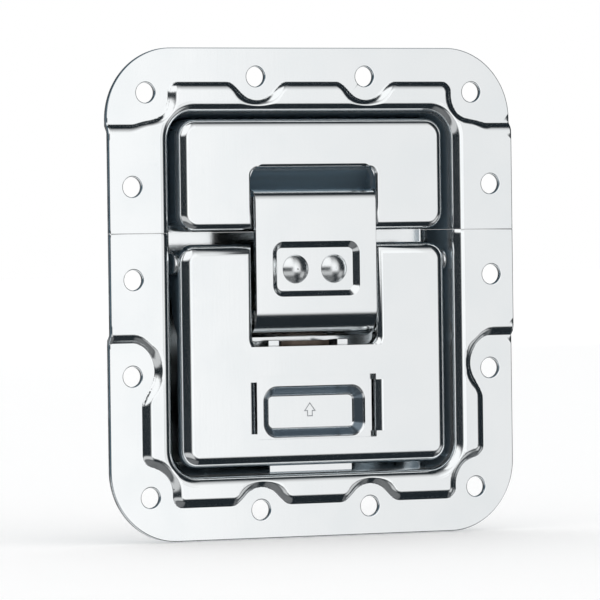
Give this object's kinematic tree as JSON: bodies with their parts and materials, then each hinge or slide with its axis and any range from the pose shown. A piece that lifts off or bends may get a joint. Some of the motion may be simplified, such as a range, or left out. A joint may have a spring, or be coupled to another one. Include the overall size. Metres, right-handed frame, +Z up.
{
  "type": "recessed case latch",
  "caption": "Square dished pressed-steel plate in two halves for a case seam, with a hinged lever, a draw hook and a sliding release.",
  "frame": {"origin": "centre of the four corner fixing holes, on the panel face that the plate's flange lies on", "axes": "+Z up the panel towards the lid, +X to the right seen from the front, +Y into the case, so the front faces -Y"},
  "size_m": [0.103, 0.0135, 0.112],
  "materials": {
    "zinc_sheet": "bright blue-white zinc plate on pressed sheet steel",
    "bright_fittings": "bright zinc plate on rivets and pins",
    "spring_steel": "dark brown tempered steel"
  },
  "bodies": {
    "plates": {"lower_dish": "zinc_sheet", "upper_dish": "zinc_sheet", "pivot_bracket_left": "zinc_sheet", "pivot_bracket_right": "zinc_sheet", "pivot_pins": "bright_fittings", "bracket_rivets": "bright_fittings", "stop_bracket": "zinc_sheet", "kick_spring": "spring_steel", "stop_rivets": "bright_fittings"},
    "lever_body": {"lever": "zinc_sheet", "hook_pin": "bright_fittings", "slide_retainer": "zinc_sheet", "slide_spring": "spring_steel"},
    "hook_body": {"hook_plate": "zinc_sheet", "hook_strap": "spring_steel", "hook_rivets": "bright_fittings"},
    "slide_body": {"release_slide": "zinc_sheet"}
  },
  "joints": [
    {"name": "lever_swing", "type": "hinge", "parent": "plates", "child": "lever_body", "pos_m": [0, 0.0016, 0.007], "axis": [-1, 0, 0], "range_deg": [0, 100]},
    {"name": "hook_swing", "type": "hinge", "parent": "lever_body", "child": "hook_body", "pos_m": [0, 0.0017, -0.0054], "axis": [1, 0, 0], "range_deg": [0, 100]},
    {"name": "slide_release", "type": "slide", "parent": "lever_body", "child": "slide_body", "axis": [0, 0, 1], "range_m": [0, 0.003], "stiffness_N_per_m": 500, "springref_m": -0.004, "deforming": ["slide_spring"]}
  ],
  "couplings": [
    {"joint": "hook_swing", "follows": "lever_swing", "ratio": 1}
  ]
}
